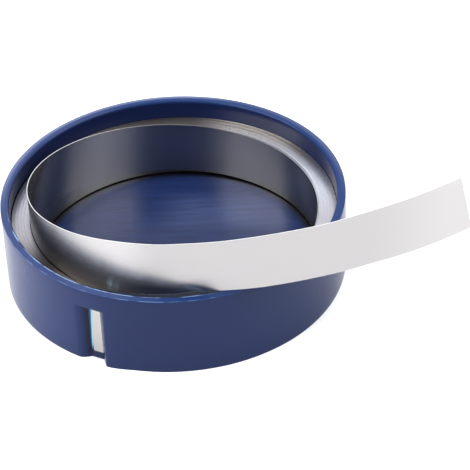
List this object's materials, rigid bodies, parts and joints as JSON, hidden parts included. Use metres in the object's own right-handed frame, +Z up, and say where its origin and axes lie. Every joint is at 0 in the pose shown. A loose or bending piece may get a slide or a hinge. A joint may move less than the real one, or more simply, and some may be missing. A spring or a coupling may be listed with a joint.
{
  "type": "shim stock roll",
  "caption": "Thin bright steel shim strip coiled in a round open plastic case, its inner turn lifted out and the free end run over the rim.",
  "frame": {"origin": "middle of the case's flat underside", "axes": "+Z up out of the open case, +X the way the strip's free end runs, -Y the side with the dispensing slot"},
  "size_m": [0.0985, 0.0756, 0.0428],
  "materials": {
    "blue_plastic": "moulded dark blue plastic, low gloss",
    "bright_steel": "cold-rolled bright spring steel"
  },
  "bodies": {
    "root": {"case": "blue_plastic", "shim_strip": "bright_steel"}
  },
  "joints": []
}
